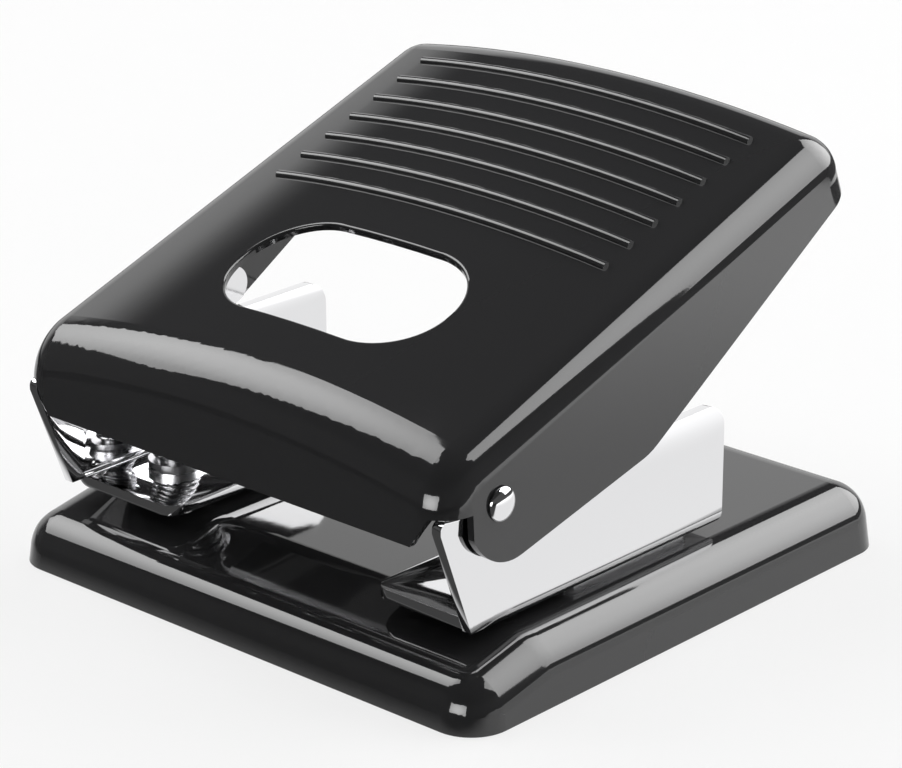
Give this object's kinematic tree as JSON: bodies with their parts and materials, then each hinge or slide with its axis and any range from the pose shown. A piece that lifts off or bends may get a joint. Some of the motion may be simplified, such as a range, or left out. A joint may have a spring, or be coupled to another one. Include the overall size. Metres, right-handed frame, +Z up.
{
  "type": "two-hole desk hole punch",
  "caption": "Lever-handled two-hole paper punch with a black enamelled base and ribbed cover handle, bright brackets, sprung punches and a lift-off chip tray.",
  "frame": {"origin": "middle of the base, on the desk under the chip tray", "axes": "+Z up; +Y towards the rear, away from the side the paper goes in; +X to the right seen from that side"},
  "size_m": [0.116, 0.1175, 0.0848],
  "materials": {
    "black_enamel": "gloss",
    "bright_plate": "polished",
    "hard_steel": "satin",
    "spring_wire": "drawn",
    "dark_plastic": "matte"
  },
  "bodies": {
    "base": {"base_shell": "black_enamel", "bracket_left": "bright_plate", "spacer_left": "hard_steel", "die_plate_left": "hard_steel", "guide_bush_left": "hard_steel", "pivot_rivet_left": "bright_plate", "pivot_washer_left": "dark_plastic", "flange_rivet_left_front": "bright_plate", "flange_rivet_left_rear": "bright_plate", "bracket_right": "bright_plate", "spacer_right": "hard_steel", "die_plate_right": "hard_steel", "guide_bush_right": "hard_steel", "pivot_rivet_right": "bright_plate", "pivot_washer_right": "dark_plastic", "flange_rivet_right_front": "bright_plate", "flange_rivet_right_rear": "bright_plate"},
    "handle": {"handle_shell": "black_enamel", "press_yoke": "bright_plate", "press_bar": "hard_steel"},
    "chip_tray": {"chip_tray": "dark_plastic"},
    "left_punch": {"punch_left": "hard_steel", "punch_cap_left": "bright_plate", "punch_spring_left": "spring_wire"},
    "right_punch": {"punch_right": "hard_steel", "punch_cap_right": "bright_plate", "punch_spring_right": "spring_wire"}
  },
  "joints": [
    {"name": "handle_pivot", "type": "hinge", "parent": "base", "child": "handle", "pos_m": [0, -0.0462, 0.0385], "axis": [-1, 0, 0], "range_deg": [0, 20.9]},
    {"name": "left_punch_slide", "type": "slide", "parent": "base", "child": "left_punch", "axis": [0, 0, -1], "range_m": [0, 0.00487], "stiffness_N_per_m": 2000, "springref_m": -0.004, "deforming": ["punch_spring_left"]},
    {"name": "right_punch_slide", "type": "slide", "parent": "base", "child": "right_punch", "axis": [0, 0, -1], "range_m": [0, 0.00487], "stiffness_N_per_m": 2000, "springref_m": -0.004, "deforming": ["punch_spring_right"]},
    {"name": "tray_slide", "type": "slide", "parent": "base", "child": "chip_tray", "axis": [0, 0, -1], "range_m": [0, 0.012]}
  ],
  "couplings": [
    {"joint": "left_punch_slide", "follows": "handle_pivot", "m_per_rad": 0.013357},
    {"joint": "right_punch_slide", "follows": "handle_pivot", "m_per_rad": 0.013357}
  ]
}
